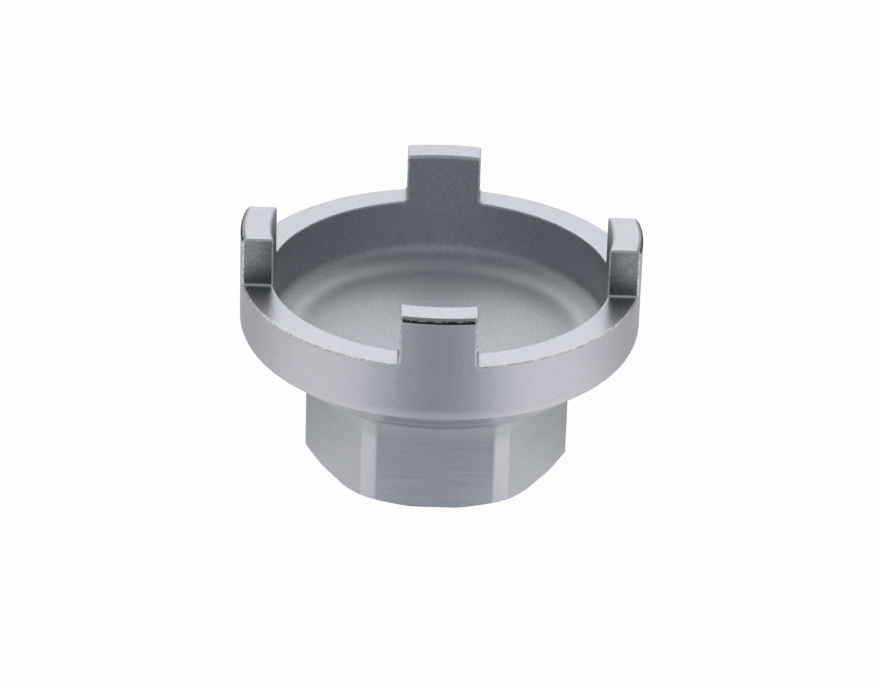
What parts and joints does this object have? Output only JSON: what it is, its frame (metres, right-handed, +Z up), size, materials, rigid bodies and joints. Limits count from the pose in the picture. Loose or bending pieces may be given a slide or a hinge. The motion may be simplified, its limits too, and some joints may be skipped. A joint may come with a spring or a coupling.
{
  "type": "freewheel remover",
  "caption": "One-piece pronged freewheel remover: shallow cup with four square prongs on its rim and a wrench hexagon below.",
  "frame": {"origin": "centre of the flat bottom of the hexagon", "axes": "+Z up along the tool's axis towards the prongs; -Y is the front, where one prong and one flat of the hexagon face"},
  "size_m": [0.0406, 0.0406, 0.0254],
  "materials": {
    "plated_steel": "satin nickel or chrome plate over steel"
  },
  "bodies": {
    "root": {"freewheel_remover": "plated_steel"}
  },
  "joints": []
}
